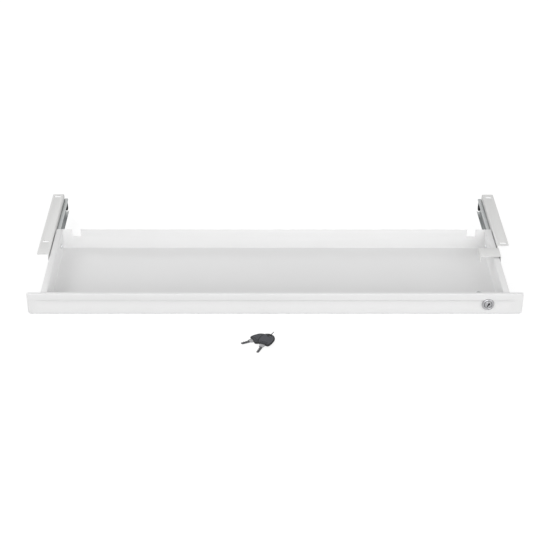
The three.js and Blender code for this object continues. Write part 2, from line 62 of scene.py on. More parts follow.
# The pressed step: how much of its depth it has at each height, and at each place along X
STEP = ((3.0, 0.0), (6.5, 0.09), (10.5, 0.35), (14.5, 0.69), (17.5, 0.92), (20.0, 1.0), (21.8, 0.96),
        (23.2, 0.83), (24.3, 0.65), (25.2, 0.42), (25.8, 0.22), (26.2, 0.07), (26.6, 0.0))
STEP_FADE = ((376.0, 1.0), (379.5, 0.85), (383.0, 0.5), (386.5, 0.15), (389.0, 0.0))

STUD_X, STUD_Z = (-340, -120, 120, 300), 12

# Tray: the middle of a side wall, its front and back, its height and the width of its rims
TRAY_X, TRAY_FRONT, TRAY_BACK, TRAY_H, RIM = 368.5, 6.2, 217, 38, 9.5
NOTCH_X, NOTCH_W, NOTCH_LOW = 344, 14.5, 24
END_WALL_X, END_WALL_Y, END_WALL_TOP, END_FLANGE_Y = 367.6, 5.9, 35.5, 13.9

# Brackets: the web and the flange, each by the middle of its sheet, and their ends
WEB_X, FLANGE_X, BRACKET_TOP, WEB_LOW, WEB_TOP = 380.25, 399.5, 42, 9, 38.5
LEFT_FRONT, RIGHT_FRONT, BRACKET_BACK = 122.8, 152.6, 341.2
SLOT_X, SLOT_LONG, SLOT_WIDE = 390.3, 12.0, 6.3
LEFT_SLOTS, RIGHT_SLOTS = (166, 332.5), (161.5, 330)
# The catch: its plate from front to back, its turned-down end, and the slot for the cam
CATCH_FRONT, CATCH_BACK, CATCH_X, CATCH_LOW, CATCH_TURN_FRONT = 116.3, 143.6, 347.25, 28.2, 122
CAM_SLOT_FRONT, CAM_SLOT_BACK, CAM_SLOT_TOP = 126.8, 131.8, 39.9

# Slides
SLIDE_X, SLIDE_Z = 379.2, 19.8
OUTER_FRONT, OUTER_BACK, INNER_FRONT, INNER_BACK = 124, 340.8, 7, 216.5
RIVETS_Y, SCREWS_Y = (150, 300), (26, 187)

# Lock: its axis, its two radii, and how far keyway and cam are turned in the pose shown
LOCK_X, LOCK_Z = 343.6, 18.7
BARREL_R, PLUG_R, LOCK_HOLE_R = 8.0, 6.0, 8.4
KEYWAY_TURN = 20.0
CAM_REST = 27.0
CAM_Y, CAM_T, CAM_LONG = 18.3, 2.0, 20.5

# Keys, flat with the blade along +X, then tilted, turned and put in place
KEY_HEAD_T, KEY_BLADE_T = 2.6, 1.8
KEY_FACE, KEY_RIM, KEY_GRIPS = 1.2, 1.8, (7.6, 9.6, 11.6)
KEY_HOLE_X, KEY_HOLE_R, KEY_BOSS_R = -9.3, 2.2, 3.4
# Where the painted highlight at the key's neck gives way to the painted shade along the blade
NECK_END = 19.5
KEY_LOWER = {"x": -24.8, "y": -74.2, "z": 1.35, "turn": 203.6, "tilt": 0.0}
KEY_UPPER = {"x": -15.0, "y": -84.0, "z": 5.62, "turn": 241.4, "tilt": 7.7}
RING_R, WIRE_R = 5.47, 0.35
RING_CENTRE, RING_AXIS = (-7.43, -71.9, 7.74), Vector((0.651, -0.418, -0.634))

# Camera: its place in metres, its angles in degrees, and its lens on a sensor 36 mm wide
CAMERA_PLACE = (-0.0313, -2.00318, 1.19136)
CAMERA_PITCH, CAMERA_YAW, CAMERA_ROLL = 30.609, 0.908, 0.486
CAMERA_LENS = 90.18


def place(x, y, z):
    """A point of the frame in metres, from millimetres measured from the front's outer face."""
    return Vector((x, y + FACE_Y, z)) * MM


def measured(point):
    """The other way round: millimetres from the front's outer face."""
    return Vector((point.x / MM, point.y / MM - FACE_Y, point.z / MM))


# Camera

def add_camera():
    pitch, yaw, roll = radians(CAMERA_PITCH), radians(CAMERA_YAW), radians(CAMERA_ROLL)
    ahead = Vector((sin(yaw) * cos(pitch), cos(yaw) * cos(pitch), -sin(pitch)))
    level = Vector((cos(yaw), -sin(yaw), 0))
    above = level.cross(ahead)
    right = level * cos(roll) + above * sin(roll)
    up = above * cos(roll) - level * sin(roll)
    data = bpy.data.cameras.new("camera")
    data.lens, data.sensor_width, data.sensor_fit = CAMERA_LENS, 36, "HORIZONTAL"
    camera = bpy.data.objects.new("camera", data)
    bpy.context.scene.collection.objects.link(camera)
    turn = Matrix((right, up, -ahead)).transposed().to_4x4()
    camera.matrix_world = Matrix.Translation(CAMERA_PLACE) @ turn
    bpy.context.scene.camera = camera


# Materials

def linear(code):
    """The linear colour of an sRGB hex value."""
    parts = [int(code[i:i + 2], 16) / 255 for i in (1, 3, 5)]
    return [p / 12.92 if p <= 0.04045 else ((p + 0.055) / 1.055) ** 2.4 for p in parts] + [1]


def node(tree, kind, inputs=None, **settings):
    """Adds a node with its settings; each input is a value or the output that it is linked to."""
    made = tree.nodes.new("ShaderNode" + kind)
    for name, value in settings.items():
        setattr(made, name, value)
    for key, value in (inputs or {}).items():
        if isinstance(value, bpy.types.NodeSocket):
            tree.links.new(value, made.inputs[key])
        else:
            made.inputs[key].default_value = value
    return made


def new_material(name):
    material = bpy.data.materials.new(name)
    material.use_nodes = True
    tree = material.node_tree
    tree.nodes.clear()
    coordinates = node(tree, "TexCoord").outputs["Object"]
    return material, tree, coordinates


def finished(material, tree, **inputs):
    """Ends a material with one Principled shader."""
    shader = node(tree, "BsdfPrincipled", {k.replace("_", " "): v for k, v in inputs.items()})
    node(tree, "OutputMaterial", {"Surface": shader.outputs["BSDF"]})
    return material


def powder_coat(name, code, paler, wave_mm=2.4):
    """Polyester powder sprayed on steel and baked: satin, with the shallow waves of orange peel
    and a film that is a shade paler or darker here and there. The real waves are 1 to 3 mm."""
    material, tree, at = new_material(name)
    drift = node(tree, "TexNoise", {"Vector": at, "Scale": 1 / (90 * MM), "Detail": 2.0})
    colour = node(tree, "Mix", {0: drift.outputs[0], 6: linear(code), 7: linear(paler)}, data_type="RGBA")
    waves = node(tree, "TexNoise",
                 {"Vector": at, "Scale": 1 / (wave_mm * MM), "Detail": 3.0, "Roughness": 0.45})
    specks = node(tree, "TexNoise", {"Vector": at, "Scale": 1 / (0.5 * MM), "Detail": 1.0})
    height = node(tree, "Math", {0: specks.outputs[0], 1: 0.25, 2: waves.outputs[0]},
                  operation="MULTIPLY_ADD")
    bump = node(tree, "Bump", {"Height": height.outputs[0], "Strength": 0.35, "Distance": 0.03 * MM})
    gloss = node(tree, "MapRange", {0: waves.outputs[0], 1: 0.3, 2: 0.7, 3: 0.42, 4: 0.52})
    return finished(material, tree, Base_Color=colour.outputs[2], Roughness=gloss.outputs[0], IOR=1.5,
                    Normal=bump.outputs["Normal"])


def zinc_plate():
    """Cold-rolled steel, zinc-plated and clear-passivated: a bluish metal with cloudy patches and
    the fine rolling lines that run along the slide."""
    material, tree, at = new_material("clear_zinc_plated_steel")
    clouds = node(tree, "TexNoise", {"Vector": at, "Scale": 1 / (9 * MM), "Detail": 4.0})
    colour = node(tree, "Mix", {0: clouds.outputs[0], 6: linear("#A6ABB0"), 7: linear("#C6C7C3")},
                  data_type="RGBA")
    along = node(tree, "Mapping", {"Vector": at, "Scale": (1 / (0.35 * MM), 1 / (30 * MM), 1 / (0.35 * MM))})
    lines = node(tree, "TexNoise", {"Vector": along.outputs[0], "Scale": 1.0, "Detail": 2.0})
    bump = node(tree, "Bump", {"Height": lines.outputs[0], "Strength": 0.3, "Distance": 0.01 * MM})
    gloss = node(tree, "MapRange", {0: clouds.outputs[0], 1: 0.3, 2: 0.7, 3: 0.3, 4: 0.44})
    return finished(material, tree, Base_Color=colour.outputs[2], Metallic=1.0, Roughness=gloss.outputs[0],
                    Normal=bump.outputs["Normal"])


def screw_zinc():
    """Steel, barrelled and bright zinc-plated: paler and smoother than the slides."""
    material, tree, at = new_material("bright_zinc_plated_steel")
    clouds = node(tree, "TexNoise", {"Vector": at, "Scale": 1 / (1.5 * MM), "Detail": 3.0})
    colour = node(tree, "Mix", {0: clouds.outputs[0], 6: linear("#D4D6D8"), 7: linear("#E8E9E9")},
                  data_type="RGBA")
    bump = node(tree, "Bump", {"Height": clouds.outputs[0], "Strength": 0.2, "Distance": 0.02 * MM})
    return finished(material, tree, Base_Color=colour.outputs[2], Metallic=1.0, Roughness=0.42,
                    Normal=bump.outputs["Normal"])


def nickel_plate():
    """Die-cast zinc, turned and nickel-plated: warm bright metal with rings left by the tool,
    0.4 mm apart, around the lock's axis."""
    material, tree, at = new_material("turned_nickel_plate")
    centre = place(LOCK_X, 0, LOCK_Z)
    about = node(tree, "Mapping", {"Vector": at, "Location": -centre})
    rings = node(tree, "TexWave",
                 {"Vector": about.outputs[0], "Scale": 0.314 / (0.4 * MM), "Distortion": 0.4},
                 wave_type="RINGS", rings_direction="Y")
    stain = node(tree, "TexNoise", {"Vector": at, "Scale": 1 / (2.5 * MM), "Detail": 3.0})
    colour = node(tree, "Mix", {0: stain.outputs[0], 6: linear("#98989A"), 7: linear("#C0C0C2")},
                  data_type="RGBA")
    bump = node(tree, "Bump", {"Height": rings.outputs["Fac"], "Strength": 0.2, "Distance": 0.006 * MM})
    gloss = node(tree, "MapRange", {0: stain.outputs[0], 1: 0.3, 2: 0.7, 3: 0.14, 4: 0.24})
    return finished(material, tree, Base_Color=colour.outputs[2], Metallic=1.0, Roughness=gloss.outputs[0],
                    Normal=bump.outputs["Normal"])


def bumper_rubber():
    """Moulded black rubber: matt, with a dusty bloom."""
    material, tree, at = new_material("moulded_black_rubber")
    bloom = node(tree, "TexNoise", {"Vector": at, "Scale": 1 / (1.6 * MM), "Detail": 4.0})
    colour = node(tree, "Mix", {0: bloom.outputs[0], 6: linear("#121314"), 7: linear("#26272A")},
                  data_type="RGBA")
    grain = node(tree, "TexNoise", {"Vector": at, "Scale": 1 / (0.3 * MM), "Detail": 2.0})
    bump = node(tree, "Bump", {"Height": grain.outputs[0], "Strength": 0.4, "Distance": 0.03 * MM})
    return finished(material, tree, Base_Color=colour.outputs[2], Roughness=0.72, IOR=1.52,
                    Normal=bump.outputs["Normal"])


def key_plastic(name, dark, pale, grain, smoothest, specular):
    """Charcoal ABS: grains of 0.4 mm that break up the highlight, rubbed smoother in patches by handling. The
    faces are spark-eroded; the rims are left as milled and smoother, and their darker colour is painted shade
    along the head's edges."""
    material, tree, at = new_material(name)
    grains = node(tree, "TexVoronoi", {"Vector": at, "Scale": 1 / (0.4 * MM)})
    patches = node(tree, "TexNoise", {"Vector": at, "Scale": 1 / (6 * MM), "Detail": 3.0})
    colour = node(tree, "Mix", {0: patches.outputs[0], 6: linear(dark), 7: linear(pale)}, data_type="RGBA")
    bump = node(tree, "Bump",
                {"Height": grains.outputs["Distance"], "Strength": grain, "Distance": 0.04 * MM})
    gloss = node(tree, "MapRange", {0: patches.outputs[0], 1: 0.3, 2: 0.7, 3: smoothest, 4: smoothest + 0.14})
    return finished(material, tree, Base_Color=colour.outputs[2], Roughness=gloss.outputs[0], IOR=1.54,
                    Specular_IOR_Level=specular, Normal=bump.outputs["Normal"])


def key_steel(name, dark, pale):
    """Blanked steel with thin nickel, scuffed in patches. Its colour carries painted light: lighter at the
    neck as a painted highlight, dark along the blade as painted shade and dark reflection, and nearly black
    on the ring's spring wire as painted shade."""
    material, tree, at = new_material(name)
    scuffs = node(tree, "TexNoise", {"Vector": at, "Scale": 1 / (1.2 * MM), "Detail": 5.0, "Distortion": 1.2})
    colour = node(tree, "Mix", {0: scuffs.outputs[0], 6: linear(dark), 7: linear(pale)}, data_type="RGBA")
    bump = node(tree, "Bump", {"Height": scuffs.outputs[0], "Strength": 0.3, "Distance": 0.02 * MM})
    gloss = node(tree, "MapRange", {0: scuffs.outputs[0], 1: 0.3, 2: 0.7, 3: 0.26, 4: 0.42})
    return finished(material, tree, Base_Color=colour.outputs[2], Metallic=1.0, Roughness=gloss.outputs[0],
                    Normal=bump.outputs["Normal"])


FINISHES = {
    "white_powder_coat": powder_coat("white_powder_coat_finish", "#EAEAEA", "#EDEDED"),
    "grey_powder_coat": powder_coat("grey_powder_coat_finish", "#E3E3E2", "#E7E7E6", wave_mm=2.0),
    "zinc_steel": zinc_plate(),
    "nickel_plate": nickel_plate(),
    "bumper_rubber": bumper_rubber(),
    "key_plastic": key_plastic("spark_grained_abs", "#3A3B40", "#4C4D53", 0.45, 0.46, 0.36),
    # The rim finish is painted darker than the faces: painted shade along the key head's edges
    "key_rim": key_plastic("milled_abs", "#17181A", "#232427", 0.12, 0.34, 0.25),
    "screw_zinc": screw_zinc(),
    # The blade's steel is painted dark as shade and dark reflection; the neck's is painted lighter as a
    # highlight
    "key_steel": key_steel("worn_key_steel", "#3C3C3F", "#7C7C7E"),
    # The ring's wire is painted nearly black: painted shade around the head's hole
    "key_ring": key_steel("blackened_ring_steel", "#161617", "#333335"),
    "key_neck": key_steel("nickel_on_key_steel", "#828284", "#BCBCBE"),
}


# Shaping, as by hand

def named(name):
    """Names the primitive just added and puts its place into its mesh."""
    piece = bpy.context.object
    piece.name = piece.data.name = name
    bpy.ops.object.transform_apply(location=True, rotation=True, scale=True)
    return piece


def block(name, low, high):
    """A cube at its size and place, low and high in millimetres."""
    low, high = place(*low), place(*high)
    bpy.ops.object.select_all(action="DESELECT")
    bpy.ops.mesh.primitive_cube_add(size=1, location=(low + high) / 2)
    bpy.context.object.scale = high - low
    return named(name)


def rod(name, radius, start, end, sides=48):
    """A cylinder from start to end, both in millimetres."""
    start, end = place(*start), place(*end)
    bpy.ops.object.select_all(action="DESELECT")
    bpy.ops.mesh.primitive_cylinder_add(vertices=sides, radius=radius * MM, depth=(end - start).length,
                                        location=(start + end) / 2,
                                        rotation=(end - start).to_track_quat("Z", "Y").to_euler())
    return named(name)


def line(name, start, end):
    """A plane cut down to the one edge from start to end, along X or Y: a sheet's first edge."""
    start, end = place(*start), place(*end)
    across = Vector((0, -1, 0)) if abs(end.x - start.x) > abs(end.y - start.y) else Vector((1, 0, 0))
    bpy.ops.object.select_all(action="DESELECT")
    bpy.ops.mesh.primitive_plane_add(size=1, location=(start + end) / 2 + across / 2,
                                     rotation=(0, 0, -pi / 2 if across.y else 0))
    bpy.context.object.scale = (1, (end - start).length, 1)
    piece = named(name)
    edit(piece)
    pick("VERT", lambda v: (v.co - start).dot(across) > 0.5)
    bpy.ops.mesh.delete(type="VERT")
    bpy.ops.mesh.select_all(action="SELECT")
    return piece


def edit(piece):
    bpy.ops.object.select_all(action="DESELECT")
    piece.select_set(True)
    bpy.context.view_layer.objects.active = piece
    bpy.ops.object.mode_set(mode="EDIT")


def leave():
    bpy.ops.object.mode_set(mode="OBJECT")


def pick(kind, wanted):
    """Selects the vertices, edges or faces that pass a test."""
    bpy.ops.mesh.select_mode(type=kind)
    bpy.ops.mesh.select_all(action="DESELECT")
    mesh = bmesh.from_edit_mesh(bpy.context.object.data)
    mesh.normal_update()
    for each in {"VERT": mesh.verts, "EDGE": mesh.edges, "FACE": mesh.faces}[kind]:
        if wanted(each):
            each.select_set(True)
    mesh.select_flush_mode()
    bmesh.update_edit_mesh(bpy.context.object.data)


def ends(edge):
    return [measured(v.co) for v in edge.verts]


def length_along(edge, axis):
    start, end = ends(edge)
    return abs(start["xyz".index(axis)] - end["xyz".index(axis)])


def middle(face):
    return measured(face.calc_center_median())


def near(a, b, within=0.02):
    return abs(a - b) < within


def both(edge, axis, value):
    """Do both ends of an edge lie at this value on this axis?"""
    return all(near(p["xyz".index(axis)], value) for p in ends(edge))


def extrude(x=0, y=0, z=0):
    bpy.ops.mesh.extrude_region_move(TRANSFORM_OT_translate={"value": (x * MM, y * MM, z * MM)})


def bisect(axis, value, wanted=None):
    """Cuts the wanted faces, or all, by a plane across an axis."""
    pick("FACE", wanted or (lambda f: True))
    normal = [float(a == axis) for a in "xyz"]
    bpy.ops.mesh.bisect(plane_co=place(*[value * n for n in normal]), plane_no=normal, threshold=1e-7)


def round_off(radius, segments=5):
    bpy.ops.mesh.bevel(offset=radius * MM, segments=segments, affect="EDGES")


def remove(kind, wanted):
    pick(kind, wanted)
    bpy.ops.mesh.delete(type=kind)


def apply(piece, kind, **settings):
    """Adds one modifier with its settings and applies it."""
    bpy.ops.object.select_all(action="DESELECT")
    piece.select_set(True)
    bpy.context.view_layer.objects.active = piece
    modifier = piece.modifiers.new(kind.lower(), kind)
    for name, value in settings.items():
        setattr(modifier, name, value)
    bpy.ops.object.modifier_apply(modifier=modifier.name)


def thicken(piece, thick, offset=0.0):
    """Gives a sheet its thickness, half to each side unless an offset says otherwise."""
    recalculate(piece)
    apply(piece, "SOLIDIFY", thickness=thick * MM, offset=offset, use_even_offset=True)


def recalculate(piece):
    edit(piece)
    bpy.ops.mesh.select_all(action="SELECT")
    bpy.ops.mesh.remove_doubles(threshold=1e-7)
    bpy.ops.mesh.normals_make_consistent(inside=False)
    leave()


def cut(piece, *tools):
    """Takes each tool's shape out of the piece, and removes the tool."""
    for tool in tools:
        apply(piece, "BOOLEAN", operation="DIFFERENCE", object=tool, solver="EXACT")
        bpy.data.objects.remove(tool)
    return piece


def soften(piece, width, segments=2, angle=40):
    """Rounds every edge sharper than an angle, and shades what is left smooth."""
    apply(piece, "BEVEL", width=width * MM, segments=segments, limit_method="ANGLE",
          angle_limit=radians(angle), use_clamp_overlap=True, harden_normals=False)
    smooth(piece)


def smooth(piece, angle=38):
    bpy.ops.object.select_all(action="DESELECT")
    piece.select_set(True)
    bpy.context.view_layer.objects.active = piece
    bpy.ops.object.shade_smooth_by_angle(angle=radians(angle))


def traced(name, points):
    """A plane cut down to one vertex and drawn out point by point, in metres."""
    bpy.ops.object.select_all(action="DESELECT")
    bpy.ops.mesh.primitive_plane_add(size=0.001, location=points[0] + Vector((0.0005, 0.0005, 0)))
    piece = named(name)
    edit(piece)
    pick("VERT", lambda v: (v.co - points[0]).length > 1e-5)
    bpy.ops.mesh.delete(type="VERT")
    bpy.ops.mesh.select_all(action="SELECT")
    for here, there in zip(points, points[1:]):
        bpy.ops.mesh.extrude_region_move(TRANSFORM_OT_translate={"value": there - here})
    bpy.ops.mesh.select_all(action="SELECT")
    return piece


def turned(name, profile, centre, axis, sides=48):
    """A turned piece: its profile, pairs of radius and place along the axis, spun about the
    axis. A profile that ends where it starts makes a ring."""
    along = Vector([float(a == axis) for a in "xyz"])
    out = Vector((1, 0, 0)) if axis == "z" else Vector((0, 0, 1))
    start = place(*centre)
    piece = traced(name, [start + (along * at + out * radius) * MM for radius, at in profile])
    bpy.ops.mesh.spin(steps=sides, angle=2 * pi, center=start, axis=along)
    leave()
    recalculate(piece)
    return piece


def flat(name, outline, low, high):
    """A flat piece: its outline in X and Y drawn at the low height and raised to the high one."""
    points = [place(x, y, low) for x, y in outline]
    piece = traced(name, points + points[:1])
    bpy.ops.mesh.remove_doubles(threshold=1e-7)
    bpy.ops.mesh.edge_face_add()
    extrude(z=high - low)
    leave()
    recalculate(piece)
    return piece


def moved(piece, name, matrix):
    """A copy with its own mesh, moved, turned or mirrored by a matrix."""
    twin = piece.copy()
    twin.data = piece.data.copy()
    twin.name = twin.data.name = name
    bpy.context.scene.collection.objects.link(twin)
    twin.data.transform(matrix)
    if matrix.determinant() < 0:
        recalculate(twin)
    return twin


def shifted(piece, name, x=0, y=0, z=0):
    return moved(piece, name, Matrix.Translation(Vector((x, y, z)) * MM))


MIRROR = Matrix.Scale(-1, 4, (1, 0, 0))


def turn_about(centre, angle):
    """Turns about the line through a point along Y; a positive angle lifts what points along -X."""
    return Matrix.Translation(centre) @ Matrix.Rotation(angle, 4, "Y") @ Matrix.Translation(-centre)


def done(piece, body, slot, *replaced, finishes=None):
    """Gives a finished piece its finish, or one for each of its material slots, and its body,
    and hides the solids that it stands for."""
    parts = [face.material_index for face in piece.data.polygons]
    piece.data.materials.clear()
    for finish in finishes or (slot,):
        piece.data.materials.append(FINISHES[finish])
    piece.data.polygons.foreach_set("material_index", parts if finishes else [0] * len(parts))
    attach(piece, body)
    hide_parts(*replaced)


# Drawer front and tray

def front():
    """The front: a shallow lid with rounded lower corners. Its step is hollow under the top
    strip, and runs out downwards and before both ends."""
    piece = block("drawer_front", (-FRONT_X, 0, 0), (FRONT_X, FRONT_D, FRONT_H))
    edit(piece)
    for height, radius, segments in ((0, LOW_CORNER, 10), (FRONT_H, TOP_CORNER, 5)):
        pick("EDGE", lambda e: both(e, "z", height) and length_along(e, "x") < 0.01)
        round_off(radius, segments)
    remove("FACE", lambda f: f.normal.y > 0.9)
    pick("EDGE", lambda e: both(e, "y", 0))
    round_off(FRONT_EDGE, 6)
    outside = lambda f: f.normal.y < -0.999
    for z, _ in STEP:
        bisect("z", z, outside)
    for x, _ in STEP_FADE:
        bisect("x", x, outside)
        bisect("x", -x, outside)
    for x, share in STEP_FADE:
        reached = (lambda v: near(abs(measured(v.co).x), x)) if share < 1 else (
            lambda v: abs(measured(v.co).x) < x + 0.02)
        for z, part in STEP:
            pick("VERT", lambda v: reached(v) and near(measured(v.co).y, 0) and near(measured(v.co).z, z))
            bpy.ops.transform.translate(value=(0, STEP_DEPTH * share * part * MM, 0))
    leave()
    thicken(piece, FRONT_T, offset=-1.0)
    cut(piece, rod("lock_hole", LOCK_HOLE_R, (LOCK_X, -5, LOCK_Z), (LOCK_X, 12, LOCK_Z)))
    smooth(piece, 30)
    done(piece, "drawer", "white_powder_coat", "front_panel")


def tray():
    """Floor, back wall and two sides from a box; each side's top edge is drawn out over the
    slide as a rim, the folds are rounded, and the sheet gets its thickness."""
    half, mid = TRAY_X, TRAY_T / 2
    back_y, top = TRAY_BACK - mid, TRAY_H - mid
    piece = block("drawer_tray", (-half, TRAY_FRONT, mid), (half, back_y, top))
    edit(piece)
    remove("FACE", lambda f: f.normal.z > 0.9 or f.normal.y < -0.9)
    for side in (-1, 1):
        pick("EDGE", lambda e: both(e, "x", side * half) and both(e, "z", top))
        extrude(x=side * RIM)
    pick("EDGE", lambda e: (both(e, "z", mid) and (both(e, "y", back_y) or abs(ends(e)[0].x) > half - 0.02
                                                   and abs(ends(e)[1].x) > half - 0.02))
         or (both(e, "z", top) and both(e, "x", half)) or (both(e, "z", top) and both(e, "x", -half))
         or (both(e, "y", back_y) and (both(e, "x", half) or both(e, "x", -half))))
    round_off(TRAY_FOLD, 6)
    leave()
    thicken(piece, TRAY_T)
    cut(piece, notch_tool(-NOTCH_X), notch_tool(NOTCH_X))
    soften(piece, SHEARED_EDGE, angle=50)
    done(piece, "drawer", "white_powder_coat", "tray")


def notch_tool(x):
    """A tool for a notch in the back wall's top edge, its two lower corners rounded."""
    tool = block("notch", (x - NOTCH_W / 2, 214, NOTCH_LOW), (x + NOTCH_W / 2, 219, 45))
    edit(tool)
    pick("EDGE", lambda e: both(e, "z", NOTCH_LOW) and length_along(e, "y") > 1)
    round_off(0.8, 4)
    leave()
    return tool


def folded_sheet(name, axis, low, high, corners, fold, thick):
    """A sheet drawn as its section's corner points, from edge to edge, along X or Y."""
    lay = (lambda u, v, a: (a, u, v)) if axis == "x" else (lambda u, v, a: (u, a, v))
    piece = line(name, lay(*corners[0], low), lay(*corners[0], high))
    for (u0, v0), (u1, v1) in zip(corners, corners[1:]):
        x, y, z = lay(u1 - u0, v1 - v0, 0)
        extrude(x, y, z)
    first = 0 if axis == "y" else 1
    inner = corners[1:-1]
    pick("EDGE", lambda e: any(all(near(p[first], u) and near(p.z, v) for p in ends(e)) for u, v in inner))
    round_off(fold, 6)
    leave()
    thicken(piece, thick)
    return piece


def tray_front():
    """The tray's front wall, spot-welded to the floor by its flange."""
    low = TRAY_T + 0.3 + TRAY_T / 2
    piece = folded_sheet("tray_front_wall", "x", -END_WALL_X, END_WALL_X, [
        (END_FLANGE_Y, low), (END_WALL_Y, low), (END_WALL_Y, END_WALL_TOP)], TRAY_FOLD, TRAY_T)
    cut(piece, rod("lock_hole", LOCK_HOLE_R, (LOCK_X, 0, LOCK_Z), (LOCK_X, 12, LOCK_Z)),
        *[rod("stud_hole", 1.9, (x, 0, STUD_Z), (x, 12, STUD_Z), 20) for x in STUD_X])
    soften(piece, SHEARED_EDGE, angle=50)
    done(piece, "drawer", "white_powder_coat", "tray_front")


# Brackets

def slot_tool(side, y):
    """A tool for a cross slot: a block with its four upright edges fully rounded."""
    x, long, wide = side * SLOT_X, SLOT_LONG / 2, SLOT_WIDE / 2
    tool = block("slot", (x - long, y - wide, 30), (x + long, y + wide, 50))
    edit(tool)
    pick("EDGE", lambda e: length_along(e, "z") > 1)
    round_off(wide - 0.01, 8)
    leave()
    return tool


def left_bracket():
    """An angle of folded steel: web down the slide, flange under the desk top."""
    mid = BRACKET_TOP - BRACKET_T / 2
    piece = folded_sheet("left_bracket", "y", LEFT_FRONT, BRACKET_BACK, [
        (-FLANGE_X, mid), (-WEB_X, mid), (-WEB_X, WEB_LOW)], BRACKET_FOLD, BRACKET_T)
    edit(piece)
    pick("EDGE", lambda e: both(e, "x", -FLANGE_X) and length_along(e, "z") > 1)
    round_off(2.0, 5)
    leave()
    cut(piece, *[slot_tool(-1, y) for y in LEFT_SLOTS])
    soften(piece, SHEARED_EDGE, angle=50)
    done(piece, "mounts", "grey_powder_coat", "bracket_left")


def right_bracket():
    """The same angle with a shorter flange, and the catch at its front end: a plate over the
    tray's rim, turned down at its end and slotted for the lock's cam."""
    mid = BRACKET_TOP - BRACKET_T / 2
    piece = line("right_bracket", (WEB_X, CATCH_FRONT, WEB_LOW), (WEB_X, BRACKET_BACK, WEB_LOW))
    extrude(z=mid - WEB_LOW)
    for y in (CATCH_BACK, RIGHT_FRONT):
        bisect("y", y)
    bisect("z", WEB_TOP)
    remove("FACE", lambda f: middle(f).z > WEB_TOP and CATCH_BACK < middle(f).y < RIGHT_FRONT)
    along = lambda e, low, high: all(low - 0.02 < p.y < high + 0.02 for p in ends(e))
    pick("EDGE", lambda e: both(e, "z", mid) and along(e, RIGHT_FRONT, BRACKET_BACK))
    extrude(x=FLANGE_X - WEB_X)
    pick("EDGE", lambda e: both(e, "z", mid) and along(e, CATCH_FRONT, CATCH_BACK))
    extrude(x=CATCH_X - WEB_X)
    pick("EDGE", lambda e: both(e, "x", CATCH_X) and both(e, "z", mid))
    extrude(z=CATCH_LOW - mid)
    pick("EDGE", lambda e: both(e, "z", mid) and len(e.link_faces) == 2
         and (both(e, "x", WEB_X) or both(e, "x", CATCH_X)))
    round_off(BRACKET_FOLD, 6)
    leave()
    thicken(piece, BRACKET_T)
    edit(piece)
    for y, radius in ((RIGHT_FRONT, 3.5), (BRACKET_BACK, 2.0)):
        pick("EDGE", lambda e: length_along(e, "z") > 1 and both(e, "x", FLANGE_X) and both(e, "y", y))
        round_off(radius, 6)
    leave()
    cut(piece, block("relief", (CATCH_X - 2, CATCH_FRONT - 1, CATCH_LOW - 1),
                     (CATCH_X + 1.6, CATCH_TURN_FRONT, BRACKET_TOP - 2)),
        block("cam_slot", (CATCH_X - 3, CAM_SLOT_FRONT, CATCH_LOW - 1),
              (CATCH_X + 3, CAM_SLOT_BACK, CAM_SLOT_TOP)),
        *[slot_tool(1, y) for y in RIGHT_SLOTS])
    soften(piece, SHEARED_EDGE, angle=50)
    done(piece, "mounts", "grey_powder_coat", "bracket_right")


# Slides

def slide_section(corners):
    """Corner points given inwards from the bracket's web and up from the middle, on the right."""
    return [(SLIDE_X - u, SLIDE_Z + v) for u, v in corners]


def slides():
    """Two channels that hook into each other over two rows of balls, a stop tab and a rubber
    bumper at the back end. The right slide is modelled and the left is its mirror image."""
    channel = slide_section([(5.8, 10.9), (5.8, 13.25), (0.5, 13.25), (0.5, -13.25), (5.8, -13.25),
                             (5.8, -10.9)])
    outer = folded_sheet("right_outer_member", "y", OUTER_FRONT, OUTER_BACK, channel, SLIDE_FOLD, SLIDE_T)
    soften(outer, SHEARED_EDGE, angle=50)
    tab = block("tab", (SLIDE_X - 5.1, OUTER_BACK - 1, SLIDE_Z - 6.6),
                (SLIDE_X - 0.7, OUTER_BACK, SLIDE_Z + 10.4))
    soften(tab, 0.3, 3)
    join(outer, tab)
    channel = slide_section([(2.4, 9.1), (9.4, 9.1), (9.4, -9.1), (2.4, -9.1)])
    inner = folded_sheet("right_inner_member", "y", INNER_FRONT, INNER_BACK, channel, SLIDE_FOLD, SLIDE_T)
    soften(inner, SHEARED_EDGE, angle=50)
    bumper = block("right_bumper", (SLIDE_X - 5.2, OUTER_BACK - 8.5, SLIDE_Z - 7),
                   (SLIDE_X - 1.4, OUTER_BACK - 1.35, SLIDE_Z + 0.6))
    edit(bumper)
    pick("FACE", lambda f: f.normal.y < -0.9)
    bpy.ops.mesh.inset(thickness=1.0 * MM, depth=0)
    bpy.ops.transform.translate(value=(0, 0.8 * MM, 0))
    leave()
    soften(bumper, 0.7, 4)
    for part, piece, body, slot in (
            ("outer", outer, "mounts", "zinc_steel"),
            ("inner", inner, "drawer", "zinc_steel"),
            ("bumper", bumper, "mounts", "bumper_rubber")):
        left = moved(piece, piece.name.replace("right", "left"), MIRROR)
        smooth(left)
        done(piece, body, slot, f"slide_{part}_right")
        done(left, body, slot, f"slide_{part}_left")


def join(piece, *others):
    bpy.ops.object.select_all(action="DESELECT")
    for each in (*others, piece):
        each.select_set(True)
    bpy.context.view_layer.objects.active = piece
    bpy.ops.object.join()
    return piece


# Fasteners

def cross_tools(centre, axis, half, deep):
    """Two thin blocks across each other: the tool for a cross recess that opens towards the
    start of the axis."""
    x, y, z = centre
    bars = []
    for wide, tall in ((half, 0.45), (0.45, half)):
        if axis == "x":
            bars.append(block("bar", (x - deep, y - wide, z - tall), (x + deep, y + wide, z + tall)))
        else:
            bars.append(block("bar", (x - wide, y - deep, z - tall), (x + wide, y + deep, z + tall)))
    return bars


